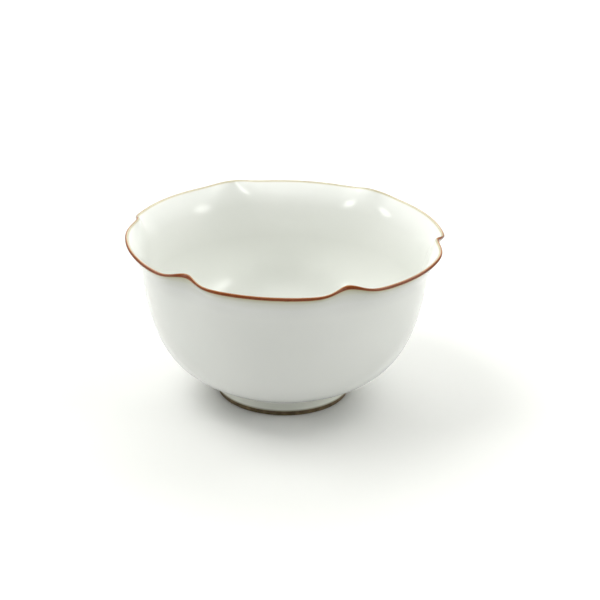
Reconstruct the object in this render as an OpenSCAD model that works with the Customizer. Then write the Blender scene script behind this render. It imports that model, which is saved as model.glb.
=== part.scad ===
// Six-lobed porcelain tea cup with an iron-brown lip and a bare iron-brown foot edge.
// Origin at the centre of the resting face, +Z up, notches at 0, 60, 120 degrees and so on.

/* [Rim] */
// Diameter over the lobes
rim_d = 86; // [82:0.5:96]
// Height of the lip in the middle of a lobe
height = 45.5; // [43:0.5:52]
// Thickness of the wall at the rounded lip
lip_t = 1; // [0.8:0.1:1.4]
// Steepness of the wall where it reaches the lip, in degrees above level
lip_angle = 52.5; // [48:0.5:65]

/* [Lobes] */
// Number of lobes round the rim
lobes = 6; // [5:1:8]
// How far each notch is pinched towards the axis
notch_depth = 2; // [0:0.1:3]
// How far each notch is lifted above the lobes
notch_rise = 1.5; // [0:0.1:2.5]
// Half width of the pinch at the lip, in degrees round the rim
pinch_w = 5.2; // [4:0.2:8]
// Half width of the lift at the lip, in degrees round the rim
lift_w = 6.4; // [4:0.2:9]
// How far down the wall a crease can be seen
crease_h = 13; // [8:1:16]
// How much wider a crease grows as it fades
crease_spread = 1.5; // [0:0.1:2]

/* [Wall] */
// Diameter of the narrow waist below the flared lip
waist_d = 75.6; // [68:0.2:78]
// Height of the waist
waist_h = 29.5; // [26:0.5:31]
// Steepness of the wall at the waist, in degrees above level
waist_angle = 79.5; // [74:0.5:86]
// Steepness of the belly where it leaves the foot, in degrees above level
belly_angle = 21.5; // [18:0.5:30]
// Thickness of the wall at the waist
waist_t = 1.8; // [1.5:0.1:2.4]
// Thickness of the floor over the foot's recess
floor_t = 2.6; // [2.2:0.1:4]
// Thickness of each coat of glaze
glaze_t = 0.25; // [0.15:0.05:0.35]

/* [Foot] */
// Outer diameter of the foot ring
foot_d = 37; // [32:0.5:42]
// Width of the foot ring with its glaze
foot_w = 3; // [2.2:0.1:4.5]
// Height of the foot ring's straight side
foot_h = 3.8; // [2.4:0.1:5]
// Height of the bare edge that the cup rests on
edge_h = 1.4; // [0.8:0.1:1.6]
// Rounding of the bare edge
edge_r = 0.3; // [0.2:0.1:0.4]
// How far out the glaze fills the corner between foot and belly
root_w = 1.4; // [0.8:0.1:2]

/* [Hidden] */

$fn = 96;
half_lobe_steps = 6;
root_steps = 2;
belly_steps = 8;
flare_steps = 6;
lip_steps = 6;
bowl_steps = 10;

lip_r = lip_t / 2;
foot_r = foot_d / 2;
clay_foot_r = foot_r - glaze_t;
recess_r = foot_r - foot_w;
clay_recess_r = recess_r + glaze_t;
floor_h = foot_h + floor_t;
flare_h = height - waist_h;
lip_centre = [rim_d / 2 - lip_r, height - lip_r];
waist = [waist_d / 2, waist_h];
belly_start = [foot_r + root_w, foot_h + root_w * 0.86];
inner_waist = waist - waist_t * side_of(waist_angle);
outer_lip = lip_centre + lip_r * side_of(lip_angle);
inner_lip = lip_centre - lip_r * side_of(lip_angle);

// Unit vector at an angle above level, and the one square to it on the outer side
function along(a) = [cos(a), sin(a)];
function side_of(a) = [sin(a), -cos(a)];
function unit(v) = v / norm(v);
function right_of(v) = [v.y, -v.x];

// A point of a curve with four control points, and its direction there
function on_curve(c, t) =
    pow(1 - t, 3) * c[0] + 3 * t * pow(1 - t, 2) * c[1] + 3 * t * t * (1 - t) * c[2]
    + pow(t, 3) * c[3];
function direction(c, t) =
    pow(1 - t, 2) * (c[1] - c[0]) + 2 * t * (1 - t) * (c[2] - c[1]) + t * t * (c[3] - c[2]);

// Stations along a curve: each is a point on the glazed surface and the way out of the clay
function stations(c, steps, first = 0) =
    [for (i = [first : steps]) [on_curve(c, i / steps), unit(right_of(direction(c, i / steps)))]];

// The wall's section, from the top of the foot over the lip to the middle of the floor
root_curve = [[foot_r, foot_h], [foot_r, foot_h + root_w * 0.3],
              belly_start - root_w * 0.4 * along(belly_angle), belly_start];
belly_curve = [belly_start, belly_start + waist_d * 0.15 * along(belly_angle),
               waist - waist_h * 0.5 * along(waist_angle), waist];
flare_curve = [waist, waist + flare_h * 0.4 * along(waist_angle),
               outer_lip - flare_h * 0.43 * along(lip_angle), outer_lip];
neck_curve = [inner_lip, inner_lip - flare_h * 0.43 * along(lip_angle),
              inner_waist + flare_h * 0.4 * along(waist_angle), inner_waist];
bowl_curve = [inner_waist, inner_waist - waist_h * 0.6 * along(waist_angle),
              [waist_d * 0.33, floor_h], [0, floor_h]];

lip_stations = [for (i = [1 : lip_steps - 1])
    let (a = lip_angle - 90 + 180 * i / lip_steps) [lip_centre + lip_r * along(a), along(a)]];
outer_path = concat(stations(root_curve, root_steps), stations(belly_curve, belly_steps, 1),
                    stations(flare_curve, flare_steps, 1));
inner_path = concat(stations(neck_curve, flare_steps), stations(bowl_curve, bowl_steps, 1));
lip_path = concat([outer_path[len(outer_path) - 1]], lip_stations, [inner_path[0]]);

function face_of(path) = [for (s = path) s[0]];
function clay_of(path) = [for (s = path) s[0] - glaze_t * s[1]];

// How much of the pinch is left at a height, and round the rim at an angle
function crease(z) = pow(min(1, max(0, 1 - (height - z) / crease_h)), 2);
function off_notch(a) = abs(a - 360 / lobes * round(a * lobes / 360));
function bump(a, w) = exp(-pow(off_notch(a) / w, 2));
function lobed(p, a) =
    let (c = crease(p.y), spread = 1 + crease_spread * (1 - c),
         r = p.x - notch_depth * c * bump(a, pinch_w * spread))
    [r * cos(a), r * sin(a), p.y + notch_rise * c * bump(a, lift_w * spread)];

// Angles round the cup, closer together beside each notch
half_lobe = [for (i = [0 : half_lobe_steps]) 180 / lobes * pow(i / half_lobe_steps, 1.5)];
angles = [for (k = [0 : lobes - 1])
    each concat([for (i = [0 : half_lobe_steps - 1]) k * 360 / lobes + half_lobe[i]],
                [for (i = [half_lobe_steps : -1 : 1]) (k + 1) * 360 / lobes - half_lobe[i]])];
turns = len(angles);

function rings(path) = [for (p = path) each [for (a = angles) lobed(p, a)]];

// Faces between the rings from first to last, in the order of the path
function strip(first, last, inwards = false) =
    [for (i = [first : last - 1], j = [0 : turns - 1])
        let (a = i * turns + j, b = i * turns + (j + 1) % turns)
        each inwards ? [[a, a + turns, b + turns], [a, b + turns, b]]
                     : [[a, b + turns, a + turns], [a, b, b + turns]]];

// Fan from one ring to a point on the axis
function fan(ring, tip, inwards = false) =
    [for (j = [0 : turns - 1])
        let (a = ring * turns + j, b = ring * turns + (j + 1) % turns)
        inwards ? [a, tip, b] : [a, b, tip]];

// Flat band between the ends of a coat's two faces
function seam(ring_a, ring_b) =
    [for (j = [0 : turns - 1])
        let (k = (j + 1) % turns, a = ring_a * turns, b = ring_b * turns)
        each [[a + j, b + k, a + k], [a + j, b + j, b + k]]];

// A coat of even thickness on the clay, open at both ends of its path
module coat(path) {
    n = len(path);
    polyhedron(
        points = concat(rings(face_of(path)), rings(clay_of(path))),
        faces = concat(strip(0, n - 1), strip(n, 2 * n - 1, true), seam(0, n), seam(2 * n - 1, n - 1)));
}

// A coat whose path ends on the axis
module closed_coat(path) {
    n = len(path) - 1;
    open_path = [for (i = [0 : n - 1]) path[i]];
    tips = [face_of(path)[n], clay_of(path)[n]];
    polyhedron(
        points = concat(rings(face_of(open_path)), rings(clay_of(open_path)),
                        [for (p = tips) [0, 0, p.y]]),
        faces = concat(strip(0, n - 1), fan(n - 1, 2 * n * turns),
                       strip(n, 2 * n - 1, true), fan(2 * n - 1, 2 * n * turns + 1, true),
                       seam(0, n)));
}

module ring(inner_r, outer_r, low, high) {
    rotate_extrude() translate([inner_r, low]) square([outer_r - inner_r, high - low]);
}

module porcelain_body() {
    path = clay_of(concat(outer_path, lip_stations, inner_path));
    n = len(path) - 1;
    open_path = [for (i = [0 : n - 1]) path[i]];
    color("#f4f1ea") polyhedron(
        points = concat(rings(open_path), [[0, 0, path[n].y], [0, 0, foot_h]]),
        faces = concat(strip(0, n - 1), fan(n - 1, n * turns), fan(0, n * turns + 1, true)));
}

module foot_ring() {
    color("#efe9dc") ring(clay_recess_r, clay_foot_r, edge_h, foot_h);
}

module foot_edge() {
    width = clay_foot_r - clay_recess_r;
    color("#4d3b22") rotate_extrude() translate([clay_recess_r, 0]) {
        translate([0, edge_r]) square([width, edge_h - edge_r]);
        translate([edge_r, 0]) square([width - 2 * edge_r, edge_h]);
        translate([edge_r, edge_r]) circle(edge_r);
        translate([width - edge_r, edge_r]) circle(edge_r);
    }
}

module outer_glaze() {
    color("#e6ebe4") coat(outer_path);
}

module inner_glaze() {
    color("#e9efe6") closed_coat(inner_path);
}

module foot_glaze() {
    color("#d5dad2") {
        ring(clay_foot_r, foot_r, edge_h, foot_h);
        rotate_extrude() {
            translate([0, foot_h - glaze_t]) square([clay_recess_r, glaze_t]);
            translate([recess_r, edge_h]) square([glaze_t, foot_h - edge_h]);
        }
    }
}

module rim_band() {
    color("#84431f") coat(lip_path);
}

porcelain_body();
foot_ring();
foot_edge();
outer_glaze();
inner_glaze();
foot_glaze();
rim_band();
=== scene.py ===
import math
import bpy
from mathutils import Matrix, Vector


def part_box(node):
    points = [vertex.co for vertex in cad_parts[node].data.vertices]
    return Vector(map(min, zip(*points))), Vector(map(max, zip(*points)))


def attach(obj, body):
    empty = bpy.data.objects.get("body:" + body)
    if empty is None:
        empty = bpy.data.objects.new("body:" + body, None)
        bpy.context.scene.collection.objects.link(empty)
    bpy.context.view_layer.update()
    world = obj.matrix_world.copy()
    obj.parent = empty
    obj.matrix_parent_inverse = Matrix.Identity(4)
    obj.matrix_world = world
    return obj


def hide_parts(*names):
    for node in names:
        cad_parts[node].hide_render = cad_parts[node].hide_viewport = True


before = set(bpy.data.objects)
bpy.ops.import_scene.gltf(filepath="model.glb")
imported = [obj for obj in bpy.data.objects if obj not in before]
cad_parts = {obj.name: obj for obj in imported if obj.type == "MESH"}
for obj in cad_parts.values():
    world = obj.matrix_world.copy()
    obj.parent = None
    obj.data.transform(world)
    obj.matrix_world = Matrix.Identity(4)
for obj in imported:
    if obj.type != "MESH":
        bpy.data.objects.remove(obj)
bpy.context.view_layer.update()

millimetre = 0.001

# highest corners of the pieces whose sizes the clay and the glaze share
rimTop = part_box("rim_band")[1]
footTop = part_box("foot_glaze")[1]
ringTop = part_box("foot_ring")[1]
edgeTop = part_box("foot_edge")[1]
glazeThickness = footTop.x - ringTop.x

notches = {
    "lobes": 6,
    "depth": 2.0 * millimetre,
    "rise": 1.5 * millimetre,
    "pinchWidth": 5.2,  # degrees either side of a notch
    "liftWidth": 6.4,
    "creaseHeight": 13.0 * millimetre,
    "creaseSpread": 1.5,  # how much wider a crease grows as it fades
    "stepsRound": 432,
    "crispAngle": 0.7,  # radians between faces, above which an edge stays sharp
    "weld": 0.002 * millimetre,
}
lipHeight = rimTop.z - notches["rise"]


# turns a closed outline round the axis, with the notches pinched in and lifted
def buildTurningTree(crispAngle, weldDistance):
    tree = bpy.data.node_groups.new("lobedTurning", "GeometryNodeTree")
    face = tree.interface
    face.new_socket("Geometry", in_out="INPUT", socket_type="NodeSocketGeometry")
    for name in ("Steps Round", "Lobes"):
        face.new_socket(name, in_out="INPUT", socket_type="NodeSocketInt")
    for name in ("Notch Depth", "Notch Rise", "Pinch Width", "Lift Width", "Lip Height", "Crease Height",
                 "Crease Spread"):
        face.new_socket(name, in_out="INPUT", socket_type="NodeSocketFloat")
    face.new_socket("Material", in_out="INPUT", socket_type="NodeSocketMaterial")
    face.new_socket("Geometry", in_out="OUTPUT", socket_type="NodeSocketGeometry")
    start = tree.nodes.new("NodeGroupInput")
    end = tree.nodes.new("NodeGroupOutput")

    def node(kind, **settings):
        made = tree.nodes.new(kind)
        for key, value in settings.items():
            setattr(made, key, value)
        return made

    def feed(target, *values):
        for i, value in enumerate(values):
            if hasattr(value, "is_output"):
                tree.links.new(value, target.inputs[i])
            else:
                target.inputs[i].default_value = value
        return target.outputs[0]

    def sums(operation, *values):
        return feed(node("ShaderNodeMath", operation=operation), *values)

    def sample(kind, value, index):
        sampler = node("GeometryNodeSampleIndex", data_type=kind, domain="POINT")
        tree.links.new(start.outputs["Geometry"], sampler.inputs["Geometry"])
        tree.links.new(value, sampler.inputs["Value"])
        tree.links.new(index, sampler.inputs["Index"])
        return sampler.outputs["Value"]

    def sampleNamed(name, index):
        named = node("GeometryNodeInputNamedAttribute", data_type="FLOAT")
        return sample("FLOAT", feed(named, name), index)

    # a flat sheet with a column for every step round and a row for every point of the outline
    count = node("GeometryNodeAttributeDomainSize", component="MESH")
    tree.links.new(start.outputs["Geometry"], count.inputs[0])
    rows = count.outputs["Point Count"]
    sheet = node("GeometryNodeMeshGrid")
    feed(sheet, 1.0, 1.0, sums("ADD", start.outputs["Steps Round"], 1.0), rows)
    place = node("ShaderNodeSeparateXYZ")
    position = node("GeometryNodeInputPosition").outputs[0]
    tree.links.new(position, place.inputs[0])
    share = sums("ADD", place.outputs["X"], 0.5)
    rowShare = sums("ADD", place.outputs["Y"], 0.5)
    row = sums("ROUND", sums("MULTIPLY", rowShare, sums("SUBTRACT", rows, 1.0)))

    outlinePoint = node("ShaderNodeSeparateXYZ")
    tree.links.new(sample("FLOAT_VECTOR", position, row), outlinePoint.inputs[0])
    radius, height = outlinePoint.outputs["X"], outlinePoint.outputs["Z"]

    # degrees from the nearest notch
    lobeShare = sums("MULTIPLY", share, start.outputs["Lobes"])
    offNotch = sums("ABSOLUTE", sums("SUBTRACT", lobeShare, sums("ROUND", lobeShare)))
    degrees = sums("DIVIDE", sums("MULTIPLY", offNotch, 360.0), start.outputs["Lobes"])

    # a crease is whole at the lip and fades downwards, growing wider
    drop = sums("SUBTRACT", start.outputs["Lip Height"], height)
    below = sums("DIVIDE", drop, start.outputs["Crease Height"])
    left = feed(node("ShaderNodeClamp"), sums("SUBTRACT", 1.0, below), 0.0, 1.0)
    crease = sums("MULTIPLY", left, left)
    fading = sums("SUBTRACT", 1.0, crease)
    spread = sums("ADD", 1.0, sums("MULTIPLY", start.outputs["Crease Spread"], fading))

    def moved(width, amount):
        ratio = sums("DIVIDE", degrees, sums("MULTIPLY", width, spread))
        bell = sums("EXPONENT", sums("MULTIPLY", sums("MULTIPLY", ratio, ratio), -1.0))
        return sums("MULTIPLY", sums("MULTIPLY", crease, bell), amount)

    pinch = moved(start.outputs["Pinch Width"], start.outputs["Notch Depth"])
    lift = moved(start.outputs["Lift Width"], start.outputs["Notch Rise"])
    angle = sums("MULTIPLY", share, 2 * math.pi)
    reach = sums("SUBTRACT", radius, pinch)
    across = sums("MULTIPLY", reach, sums("COSINE", angle))
    deep = sums("MULTIPLY", reach, sums("SINE", angle))
    point = feed(node("ShaderNodeCombineXYZ"), across, deep, sums("ADD", height, lift))

    # keep what the finishes follow: distance from the brown lip, turn of the lip, and a map
    shape = sheet.outputs["Mesh"]
    for name in ("lipDistance", "lipTurn"):
        store = node("GeometryNodeStoreNamedAttribute", data_type="FLOAT", domain="POINT")
        tree.links.new(shape, store.inputs["Geometry"])
        store.inputs["Name"].default_value = name
        tree.links.new(sampleNamed(name, row), store.inputs["Value"])
        shape = store.outputs["Geometry"]
    uv = node("GeometryNodeStoreNamedAttribute", data_type="FLOAT2", domain="CORNER")
    tree.links.new(shape, uv.inputs["Geometry"])
    uv.inputs["Name"].default_value = "UVMap"
    flat = feed(node("ShaderNodeCombineXYZ"), share, sampleNamed("outlineShare", row), 0.0)
    tree.links.new(flat, uv.inputs["Value"])

    move = node("GeometryNodeSetPosition")
    tree.links.new(uv.outputs["Geometry"], move.inputs["Geometry"])
    tree.links.new(point, move.inputs["Position"])
    weld = node("GeometryNodeMergeByDistance")
    tree.links.new(move.outputs["Geometry"], weld.inputs["Geometry"])
    weld.inputs["Distance"].default_value = weldDistance
    soft = node("GeometryNodeSetShadeSmooth", domain="FACE")
    tree.links.new(weld.outputs["Geometry"], soft.inputs["Geometry"])
    crisp = node("GeometryNodeSetShadeSmooth", domain="EDGE")
    tree.links.new(soft.outputs["Geometry"], crisp.inputs["Geometry"])
    steep = sums("GREATER_THAN", node("GeometryNodeInputMeshEdgeAngle").outputs[0], crispAngle)
    tree.links.new(steep, crisp.inputs["Selection"])
    crisp.inputs["Shade Smooth"].default_value = False
    whole = node("GeometryNodeRealizeInstances")
    tree.links.new(crisp.outputs["Geometry"], whole.inputs["Geometry"])
    finish = node("GeometryNodeSetMaterial")
    tree.links.new(whole.outputs["Geometry"], finish.inputs["Geometry"])
    tree.links.new(start.outputs["Material"], finish.inputs["Material"])
    tree.links.new(finish.outputs["Geometry"], end.inputs["Geometry"])
    return tree


turningTree = buildTurningTree(notches["crispAngle"], notches["weld"])


def pathLengths(points):
    lengths = [0.0]
    for p, q in zip(points, points[1:]):
        lengths.append(lengths[-1] + (q - p).length)
    return lengths


# an outline is a closed row of (point, lipDistance, lipTurn), with the outside on its right
def turnedPiece(name, outline, material):
    mesh = bpy.data.meshes.new(name + "Outline")
    mesh.from_pydata([(p.x, 0, p.y) for p, _, _ in outline], [], [])
    lengths = pathLengths([p for p, _, _ in outline])
    kept = {
        "lipDistance": [distance for _, distance, _ in outline],
        "lipTurn": [turn for _, _, turn in outline],
        "outlineShare": [length / lengths[-1] for length in lengths],
    }
    for key, values in kept.items():
        mesh.attributes.new(key, "FLOAT", "POINT").data.foreach_set("value", values)
    source = bpy.data.objects.new(name + "Outline", mesh)
    bpy.context.scene.collection.objects.link(source)
    modifier = source.modifiers.new("turning", "NODES")
    modifier.node_group = turningTree
    given = {
        "Steps Round": notches["stepsRound"],
        "Lobes": notches["lobes"],
        "Notch Depth": notches["depth"],
        "Notch Rise": notches["rise"],
        "Pinch Width": notches["pinchWidth"],
        "Lift Width": notches["liftWidth"],
        "Lip Height": lipHeight,
        "Crease Height": notches["creaseHeight"],
        "Crease Spread": notches["creaseSpread"],
        "Material": material,
    }
    for item in turningTree.interface.items_tree:
        if item.in_out == "INPUT" and item.name in given:
            modifier[item.identifier] = given[item.name]
    evaluated = source.evaluated_get(bpy.context.evaluated_depsgraph_get())
    solid = bpy.data.meshes.new_from_object(evaluated)
    solid.name = name
    piece = bpy.data.objects.new(name, solid)
    bpy.context.scene.collection.objects.link(piece)
    bpy.data.objects.remove(source)
    bpy.data.meshes.remove(mesh)
    print("turned", name, len(solid.polygons), "faces")
    return piece


# unit vector so many degrees above level, and the one square to it on the outer side
def along(degrees):
    return Vector((math.cos(math.radians(degrees)), math.sin(math.radians(degrees))))


def sideOf(degrees):
    return Vector((math.sin(math.radians(degrees)), -math.cos(math.radians(degrees))))


# stations along a curve of four control points: each is (radius, height) and the way out of the clay
def stations(curve, steps, first=0):
    a, b, c, d = curve
    found = []
    for i in range(first, steps + 1):
        t = i / steps
        point = (1 - t) ** 3 * a + 3 * t * (1 - t) ** 2 * b + 3 * t * t * (1 - t) * c + t ** 3 * d
        tangent = (1 - t) ** 2 * (b - a) + 2 * t * (1 - t) * (c - b) + t * t * (d - c)
        tangent.normalize()
        found.append((point, Vector((tangent.y, -tangent.x))))
    return found


wall = {
    "lipThickness": 1.0 * millimetre,
    "lipAngle": 52.5,  # degrees above level
    "waistRadius": 37.8 * millimetre,
    "waistHeight": 29.5 * millimetre,
    "waistAngle": 79.5,
    "waistThickness": 1.8 * millimetre,
    "bellyAngle": 21.5,
    "rootWidth": 1.4 * millimetre,
    "floorThickness": 2.6 * millimetre,
    "rootSteps": 8,
    "bellySteps": 30,
    "flareSteps": 24,
    "lipSteps": 16,
    "bowlSteps": 36,
}


# the wall's section in three runs: up the outside, over the lip, down the inside to the axis;
# the shares of a width or a height are how far each curve is pulled on before it bends
def wallSection(s):
    lipRadius = s["lipThickness"] / 2
    flare = lipHeight - s["waistHeight"]
    lipCentre = Vector((rimTop.y - lipRadius, lipHeight - lipRadius))
    waist = Vector((s["waistRadius"], s["waistHeight"]))
    innerWaist = waist - s["waistThickness"] * sideOf(s["waistAngle"])
    outerLip = lipCentre + lipRadius * sideOf(s["lipAngle"])
    innerLip = lipCentre - lipRadius * sideOf(s["lipAngle"])
    floor = ringTop.z + s["floorThickness"]
    footCorner = Vector((footTop.x, ringTop.z))
    bellyStart = footCorner + s["rootWidth"] * Vector((1, 0.86))
    rise, lean, swell = along(s["waistAngle"]), along(s["lipAngle"]), along(s["bellyAngle"])

    rootCurve = (footCorner, footCorner + Vector((0, 0.3 * s["rootWidth"])),
                 bellyStart - 0.4 * s["rootWidth"] * swell, bellyStart)
    bellyCurve = (bellyStart, bellyStart + 0.3 * s["waistRadius"] * swell,
                  waist - 0.5 * s["waistHeight"] * rise, waist)
    flareCurve = (waist, waist + 0.4 * flare * rise, outerLip - 0.43 * flare * lean, outerLip)
    neckCurve = (innerLip, innerLip - 0.43 * flare * lean, innerWaist + 0.4 * flare * rise, innerWaist)
    bowlCurve = (innerWaist, innerWaist - 0.6 * s["waistHeight"] * rise,
                 Vector((0.66 * s["waistRadius"], floor)), Vector((0, floor)))

    goingUp = stations(rootCurve, s["rootSteps"])
    goingUp += stations(bellyCurve, s["bellySteps"], 1)
    goingUp += stations(flareCurve, s["flareSteps"], 1)
    over = []
    for i in range(1, s["lipSteps"]):
        way = along(s["lipAngle"] - 90 + 180 * i / s["lipSteps"])
        over.append((lipCentre + lipRadius * way, way))
    goingDown = stations(neckCurve, s["flareSteps"]) + stations(bowlCurve, s["bowlSteps"], 1)
    return goingUp, over, goingDown


outer, lip, inner = wallSection(wall)
lipPath = [outer[-1]] + lip + [inner[0]]


# a coat of glaze: the path's own face, then back along the clay
def coatOutline(path, distances, turns):
    face = [(p, d, t) for (p, _), d, t in zip(path, distances, turns)]
    back = [(p - glazeThickness * way, d, t) for (p, way), d, t in zip(path, distances, turns)]
    return face + back[::-1] + face[:1]


# the clay and the foot don't follow the lip, so both their attributes are the same all over
def plainOutline(points):
    return [(Vector(p), 1.0, 0.0) for p in points]


def newFinish(name):
    material = bpy.data.materials.new(name)
    material.use_nodes = True
    tree = material.node_tree
    return material, tree, tree.nodes["Principled BSDF"]


def join(tree, source, target):
    tree.links.new(source, target)


noiseLow, noiseHigh = 0.3, 0.7  # most of a noise lies between these


def noise(tree, coords, scale, detail=3.0, roughness=0.5):
    made = tree.nodes.new("ShaderNodeTexNoise")
    made.inputs["Scale"].default_value = scale
    made.inputs["Detail"].default_value = detail
    made.inputs["Roughness"].default_value = roughness
    join(tree, coords, made.inputs["Vector"])
    return made.outputs["Fac"]


def ramp(tree, source, stops):
    made = tree.nodes.new("ShaderNodeValToRGB")
    elements = made.color_ramp.elements
    while len(elements) < len(stops):
        elements.new(0.5)
    for element, (position, color) in zip(elements, stops):
        element.position = position
        element.color = (*color, 1)
    join(tree, source, made.inputs["Fac"])
    return made.outputs["Color"]


def mapRange(tree, source, outLow, outHigh, low=noiseLow, high=noiseHigh):
    made = tree.nodes.new("ShaderNodeMapRange")
    made.inputs["From Min"].default_value = low
    made.inputs["From Max"].default_value = high
    made.inputs["To Min"].default_value = outLow
    made.inputs["To Max"].default_value = outHigh
    join(tree, source, made.inputs["Value"])
    return made.outputs["Result"]


def mixColor(tree, share, first, second, blend="MIX"):
    made = tree.nodes.new("ShaderNodeMix")
    made.data_type = "RGBA"
    made.blend_type = blend
    join(tree, share, made.inputs["Factor"])
    join(tree, first, made.inputs["A"])
    made.inputs["B"].default_value = (*second, 1)
    return made.outputs["Result"]


def attribute(tree, name):
    made = tree.nodes.new("ShaderNodeAttribute")
    made.attribute_name = name
    return made.outputs["Fac"]


def bumpFrom(tree, shader, height, strength, distance):
    made = tree.nodes.new("ShaderNodeBump")
    made.inputs["Strength"].default_value = strength
    made.inputs["Distance"].default_value = distance
    join(tree, height, made.inputs["Height"])
    join(tree, made.outputs["Normal"], shader.inputs["Normal"])


# tones of a glaze are millimetres from the brown lip, then the colour there
outerLook = {
    "tones": (
        # darker and yellower next to the lip: partly iron bleeding into the glaze, partly painted shade
        # under the flared lip
        (0.0, (0.40, 0.36, 0.22)),
        (0.7, (0.48, 0.47, 0.37)),
        (1.9, (0.57, 0.575, 0.54)),
        (4.5, (0.675, 0.68, 0.67)),
        (8.0, (0.725, 0.732, 0.715)),
        (34.0, (0.725, 0.732, 0.715)),
        # lighter towards the foot: painted light lifting the shade on the belly's underside
        (42.0, (0.79, 0.798, 0.78)),
        (48.0, (0.91, 0.918, 0.90)),
    ),
    "cloudTint": (0.96, 0.97, 0.965),
    "cloudShare": 0.5,
    "cloudScale": 55,
    "roughScale": 140,
    "roughLow": 0.10,
    "roughHigh": 0.16,
    "rippleScale": 900,
    "rippleStrength": 0.05,
    "rippleDepth": 0.05 * millimetre,
    "refraction": 1.5,
}
innerLook = {
    **outerLook,
    "tones": (
        (0.0, (0.76, 0.72, 0.56)),
        # after the pale cream edge of the iron: whiter near the lip is painted light, darker down the
        # wall towards 16 mm is painted shade, and lighter again towards the bowl's floor is painted light
        (0.35, (0.92, 0.925, 0.91)),
        (3.0, (0.875, 0.882, 0.865)),
        (7.0, (0.775, 0.782, 0.76)),
        (16.0, (0.705, 0.712, 0.687)),
        (30.0, (0.78, 0.788, 0.762)),
        (45.0, (0.82, 0.828, 0.80)),
    ),
    "roughLow": 0.13,
    "roughHigh": 0.19,
}
footLook = {
    **outerLook,
    "tones": (
        # lighter than the belly's glaze: painted light lifting the shade under the belly
        (0.0, (0.86, 0.87, 0.80)),
        (1.0, (0.86, 0.87, 0.80)),
    ),
    "thinTone": (0.30, 0.27, 0.18),  # where the glaze runs out above the bare edge
    "thinWidth": 0.6 * millimetre,
}


def glazeFinish(name, look):
    material, tree, shader = newFinish(name)
    coords = tree.nodes.new("ShaderNodeTexCoord").outputs["Object"]
    span = look["tones"][-1][0]
    share = mapRange(tree, attribute(tree, "lipDistance"), 0.0, 1.0, 0.0, span * millimetre)
    base = ramp(tree, share, [(reach / span, color) for reach, color in look["tones"]])
    cloud = mapRange(tree, noise(tree, coords, look["cloudScale"], 2.0), 0.0, look["cloudShare"])
    base = mixColor(tree, cloud, base, look["cloudTint"], "MULTIPLY")
    if "thinTone" in look:
        height = tree.nodes.new("ShaderNodeSeparateXYZ")
        join(tree, coords, height.inputs[0])
        thin = mapRange(tree, height.outputs["Z"], 1.0, 0.0, edgeTop.z, edgeTop.z + look["thinWidth"])
        base = mixColor(tree, thin, base, look["thinTone"])
    join(tree, base, shader.inputs["Base Color"])
    rough = mapRange(tree, noise(tree, coords, look["roughScale"]), look["roughLow"], look["roughHigh"])
    join(tree, rough, shader.inputs["Roughness"])
    ripple = noise(tree, coords, look["rippleScale"], 2.0)
    bumpFrom(tree, shader, ripple, look["rippleStrength"], look["rippleDepth"])
    shader.inputs["IOR"].default_value = look["refraction"]
    print("mixed", name)
    return material


outerFinish = glazeFinish("outerGlaze", outerLook)
innerFinish = glazeFinish("innerGlaze", innerLook)
footFinish = glazeFinish("footGlaze", footLook)

# tones of the iron are shares of the way over the lip from its outer edge, then the colour there
ironLook = {
    "tones": (
        (0.0, (0.44, 0.34, 0.15)),
        (0.06, (0.32, 0.105, 0.03)),
        (0.13, (0.17, 0.032, 0.005)),
        (0.46, (0.17, 0.032, 0.005)),
        (0.56, (0.32, 0.105, 0.03)),
        (0.68, (0.39, 0.22, 0.10)),
        (0.84, (0.57, 0.545, 0.40)),
    ),
    "wander": 0.03,  # how far the edges of the tones stray
    "wanderScale": 260,
    "speckleTone": (0.32, 0.105, 0.03),
    "speckleShare": 0.25,
    "speckleFrom": 0.35,
    "speckleScale": 1500,
    "roughScale": 600,
    "roughLow": 0.08,
    "roughHigh": 0.16,
    "rippleScale": 1200,
    "rippleStrength": 0.12,
    "rippleDepth": 0.05 * millimetre,
    "gloss": 0.4,
}


def ironFinish(name, look):
    material, tree, shader = newFinish(name)
    coords = tree.nodes.new("ShaderNodeTexCoord").outputs["Object"]
    stray = mapRange(tree, noise(tree, coords, look["wanderScale"]), -look["wander"], look["wander"])
    place = tree.nodes.new("ShaderNodeMath")
    place.operation = "ADD"
    join(tree, attribute(tree, "lipTurn"), place.inputs[0])
    join(tree, stray, place.inputs[1])
    color = ramp(tree, place.outputs[0], look["tones"])
    speckle = noise(tree, coords, look["speckleScale"], 3.0, 0.65)
    speckle = mapRange(tree, speckle, 0.0, look["speckleShare"], look["speckleFrom"])
    color = mixColor(tree, speckle, color, look["speckleTone"])
    join(tree, color, shader.inputs["Base Color"])
    shader.inputs["Specular IOR Level"].default_value = look["gloss"]
    rough = mapRange(tree, noise(tree, coords, look["roughScale"]), look["roughLow"], look["roughHigh"])
    join(tree, rough, shader.inputs["Roughness"])
    ripple = noise(tree, coords, look["rippleScale"])
    bumpFrom(tree, shader, ripple, look["rippleStrength"], look["rippleDepth"])
    print("mixed", name)
    return material


ironRim = ironFinish("ironRim", ironLook)

porcelainLook = {
    "tones": ((0.86, 0.84, 0.78), (0.90, 0.88, 0.83)),
    "roughLow": 0.52,
    "roughHigh": 0.68,
    "grain": 300,
    "biteStrength": 0.3,
    "biteDepth": 0.06 * millimetre,
}
bareFootLook = {
    **porcelainLook,
    "tones": ((0.075, 0.050, 0.018), (0.19, 0.13, 0.06)),
    "roughLow": 0.62,
    "roughHigh": 0.78,
    "grain": 500,
}


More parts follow.
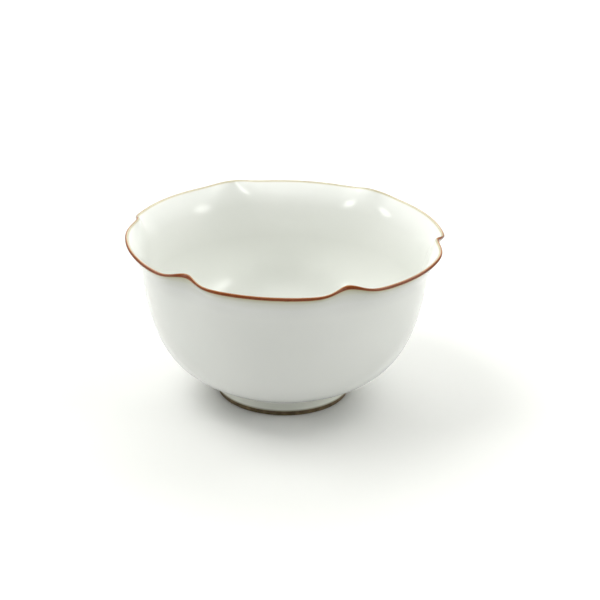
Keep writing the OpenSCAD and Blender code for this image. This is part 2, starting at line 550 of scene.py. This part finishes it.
def clayFinish(name, look):
    material, tree, shader = newFinish(name)
    coords = tree.nodes.new("ShaderNodeTexCoord").outputs["Object"]
    dark, light = look["tones"]
    blotches = ramp(tree, noise(tree, coords, look["grain"], 5.0), ((noiseLow, dark), (noiseHigh, light)))
    join(tree, blotches, shader.inputs["Base Color"])
    rough = mapRange(tree, noise(tree, coords, look["grain"] * 3), look["roughLow"], look["roughHigh"])
    join(tree, rough, shader.inputs["Roughness"])
    bite = noise(tree, coords, look["grain"] * 6, 4.0)
    bumpFrom(tree, shader, bite, look["biteStrength"], look["biteDepth"])
    print("mixed", name)
    return material


porcelain = clayFinish("porcelain", porcelainLook)
bareFoot = clayFinish("bareFoot", bareFootLook)

# the three coats and the clay wall behind them
outerLengths = pathLengths([p for p, _ in outer])
outerDistances = [outerLengths[-1] - length for length in outerLengths]
innerDistances = pathLengths([p for p, _ in inner])
lipTurns = [i / (len(lipPath) - 1) for i in range(len(lipPath))]
outerOutline = coatOutline(outer, outerDistances, [0] * len(outer))
innerOutline = coatOutline(inner, innerDistances, [1] * len(inner))
outerGlaze = turnedPiece("outerGlaze", outerOutline, outerFinish)
innerGlaze = turnedPiece("innerGlaze", innerOutline, innerFinish)
rimBand = turnedPiece("rimBand", coatOutline(lipPath, [0] * len(lipPath), lipTurns), ironRim)

clayPoints = [Vector((0, ringTop.z))] + [p - glazeThickness * way for p, way in outer + lip + inner]
clayBody = turnedPiece("clayBody", plainOutline(clayPoints), porcelain)

foot = {
    "width": 3.0 * millimetre,  # with the glaze on both sides
    "rounding": 0.3 * millimetre,
    "roundingSteps": 8,
}
footRadius = footTop.x
recessRadius = footRadius - foot["width"]
clayOuterRadius = ringTop.x
clayInnerRadius = recessRadius + glazeThickness
bareHeight = edgeTop.z
footHeight = ringTop.z


# four corners of a ring's section, from low outside up and round to the start
def ringCorners(innerRadius, outerRadius):
    return [(outerRadius, bareHeight), (outerRadius, footHeight), (innerRadius, footHeight),
            (innerRadius, bareHeight), (outerRadius, bareHeight)]


def edgeCorners(rounding, steps):
    points = []
    for centre, first in ((clayInnerRadius + rounding, 180), (clayOuterRadius - rounding, 270)):
        for i in range(steps + 1):
            points.append(Vector((centre, rounding)) + rounding * along(first + 90 * i / steps))
    points += [Vector((clayOuterRadius, bareHeight)), Vector((clayInnerRadius, bareHeight))]
    return points + points[:1]


recessTop = footHeight - glazeThickness
recessCorners = [(0, recessTop), (recessRadius, recessTop), (recessRadius, bareHeight),
                 (clayInnerRadius, bareHeight), (clayInnerRadius, footHeight), (0, footHeight)]
edgePoints = edgeCorners(foot["rounding"], foot["roundingSteps"])
footRing = turnedPiece("footRing", plainOutline(ringCorners(clayInnerRadius, clayOuterRadius)), porcelain)
footEdge = turnedPiece("footEdge", plainOutline(edgePoints), bareFoot)
footGlaze = turnedPiece("footGlaze", plainOutline(ringCorners(clayOuterRadius, footRadius)), footFinish)
recessGlaze = turnedPiece("recessGlaze", plainOutline(recessCorners), footFinish)

# each piece, the solid that it stands for, and the finish that it takes
pieces = (
    (outerGlaze, "outer_glaze", "outer_glaze"),
    (innerGlaze, "inner_glaze", "inner_glaze"),
    (rimBand, "rim_band", "iron_rim"),
    (clayBody, "porcelain_body", "porcelain"),
    (footRing, "foot_ring", "porcelain"),
    (footEdge, "foot_edge", "bare_foot"),
    (footGlaze, "foot_glaze", "foot_glaze"),
    (recessGlaze, "foot_glaze", "foot_glaze"),
)
for piece, node, slot in pieces:
    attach(piece, "root")
    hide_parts(node)

tableTop = {
    "radius": 0.6,
    "sides": 96,
    "tone": 0.80,
    "roughness": 0.8,
    "gloss": 0.1,
}


def layTable(top):
    corners = []
    for i in range(top["sides"]):
        turn = 2 * math.pi * i / top["sides"]
        corners.append((top["radius"] * math.cos(turn), top["radius"] * math.sin(turn), 0))
    mesh = bpy.data.meshes.new("table")
    mesh.from_pydata(corners, [], [range(top["sides"])])
    table = bpy.data.objects.new("table", mesh)
    bpy.context.scene.collection.objects.link(table)
    material, _, shader = newFinish("whiteTable")
    shader.inputs["Base Color"].default_value = (top["tone"], top["tone"], top["tone"], 1)
    shader.inputs["Roughness"].default_value = top["roughness"]
    shader.inputs["Specular IOR Level"].default_value = top["gloss"]
    mesh.materials.append(material)
    print("laid the table")


layTable(tableTop)

# each soft box: degrees from +Y towards +X, degrees up, distance, width, height, strength at the cup,
# and whether it shows in the gloss
softBoxes = {
    "back": (-7, 42, 1.4, 1.2, 1.2, 0.385, True),
    "backLeft": (-60, 46, 1.2, 0.7, 0.7, 0.17, True),
    "backRight": (50, 46, 1.2, 0.7, 0.7, 0.205, True),
    "sideRight": (85, 18, 1.2, 0.8, 0.8, 0.045, True),
    "frontHigh": (173, 62, 1.2, 0.9, 0.9, 0.13, True),
    "leftHigh": (-100, 60, 1.0, 0.6, 0.6, 0.38, False),
    "rightHigh": (90, 60, 1.0, 0.6, 0.6, 0.125, False),
    "left": (-115, 28, 0.8, 0.30, 0.165, 0.11, True),
    "leftFill": (-115, 28, 0.8, 0.26, 0.143, 0.02, False),
    "right": (104, 28, 0.8, 0.30, 0.165, 0.10, True),
    "rightFill": (106, 27, 0.8, 0.28, 0.154, 0.04, False),
}
studioTint = (0.99, 1.0, 0.955)
aimHeight = 0.02


def softBox(name, turn, up, distance, width, height, strength, showsInGloss):
    turn, up = math.radians(turn), math.radians(up)
    way = Vector((math.sin(turn) * math.cos(up), math.cos(turn) * math.cos(up), math.sin(up)))
    light = bpy.data.lights.new(name, "AREA")
    light.shape = "ELLIPSE"
    light.size = width
    light.size_y = height
    light.energy = strength * 4 * math.pi * distance ** 2
    light.color = studioTint
    lamp = bpy.data.objects.new(name, light)
    lamp.location = way * distance
    aim = Vector((0, 0, aimHeight)) - lamp.location
    lamp.rotation_euler = aim.to_track_quat("-Z", "Y").to_euler()
    lamp.visible_camera = False
    lamp.visible_glossy = showsInGloss
    bpy.context.scene.collection.objects.link(lamp)


for name, setting in softBoxes.items():
    softBox(name, *setting)
print("hung", len(softBoxes), "soft boxes")

# a pale room: bright low down behind the cup, dimmer in front of it and overhead, with a plain backdrop
room = {
    "horizonBehind": 0.50,
    "horizonInFront": 0.19,
    "overhead": 0.08,
    "backdrop": 0.95,
    "frontToBack": (-0.6, 0.2),  # where the front turns into the back, along the way that one looks
    "lowToHigh": (0.1, 0.6),  # and where low turns into overhead
}


def studioWorld(room):
    world = bpy.data.worlds.new("paleStudio")
    world.use_nodes = True
    tree = world.node_tree
    background = tree.nodes["Background"]
    background.inputs["Color"].default_value = (*studioTint, 1)
    split = tree.nodes.new("ShaderNodeSeparateXYZ")
    tree.links.new(tree.nodes.new("ShaderNodeTexCoord").outputs["Generated"], split.inputs[0])

    def fade(source, reach, first, last):
        made = tree.nodes.new("ShaderNodeMapRange")
        made.interpolation_type = "SMOOTHSTEP"
        made.inputs["From Min"].default_value = reach[0]
        made.inputs["From Max"].default_value = reach[1]
        for key, value in (("To Min", first), ("To Max", last)):
            if hasattr(value, "is_output"):
                tree.links.new(value, made.inputs[key])
            else:
                made.inputs[key].default_value = value
        tree.links.new(source, made.inputs["Value"])
        return made.outputs["Result"]

    ends = (room["horizonInFront"], room["horizonBehind"])
    horizon = fade(split.outputs["Y"], room["frontToBack"], *ends)
    dome = fade(split.outputs["Z"], room["lowToHigh"], horizon, room["overhead"])
    seen = tree.nodes.new("ShaderNodeMix")
    tree.links.new(tree.nodes.new("ShaderNodeLightPath").outputs["Is Camera Ray"], seen.inputs["Factor"])
    tree.links.new(dome, seen.inputs["A"])
    seen.inputs["B"].default_value = room["backdrop"]
    tree.links.new(seen.outputs["Result"], background.inputs["Strength"])
    bpy.context.scene.world = world


studioWorld(room)
bpy.context.scene.view_settings.view_transform = "Standard"

view = {
    "azimuth": 7.33,  # degrees round the cup from the -Y side
    "distance": 404.7 * millimetre,
    "height": 206.0 * millimetre,
    "down": 23.96,
    "pan": 0.60,
    "roll": 1.34,
    "lens": 97.17,
    "sensor": 36,
    "nearest": 0.01,
}


def placeCamera(view):
    camera = bpy.data.objects.new("camera", bpy.data.cameras.new("camera"))
    camera.data.lens = view["lens"]
    camera.data.sensor_width = view["sensor"]
    camera.data.clip_start = view["nearest"]
    azimuth = math.radians(view["azimuth"])
    across, back = view["distance"] * math.sin(azimuth), -view["distance"] * math.cos(azimuth)
    camera.matrix_world = (
        Matrix.Translation((across, back, view["height"]))
        @ Matrix.Rotation(azimuth - math.radians(view["pan"]), 4, "Z")
        @ Matrix.Rotation(math.radians(90 - view["down"]), 4, "X")
        @ Matrix.Rotation(math.radians(view["roll"]), 4, "Z"))
    bpy.context.scene.collection.objects.link(camera)
    bpy.context.scene.camera = camera
    print("placed the camera")


placeCamera(view)
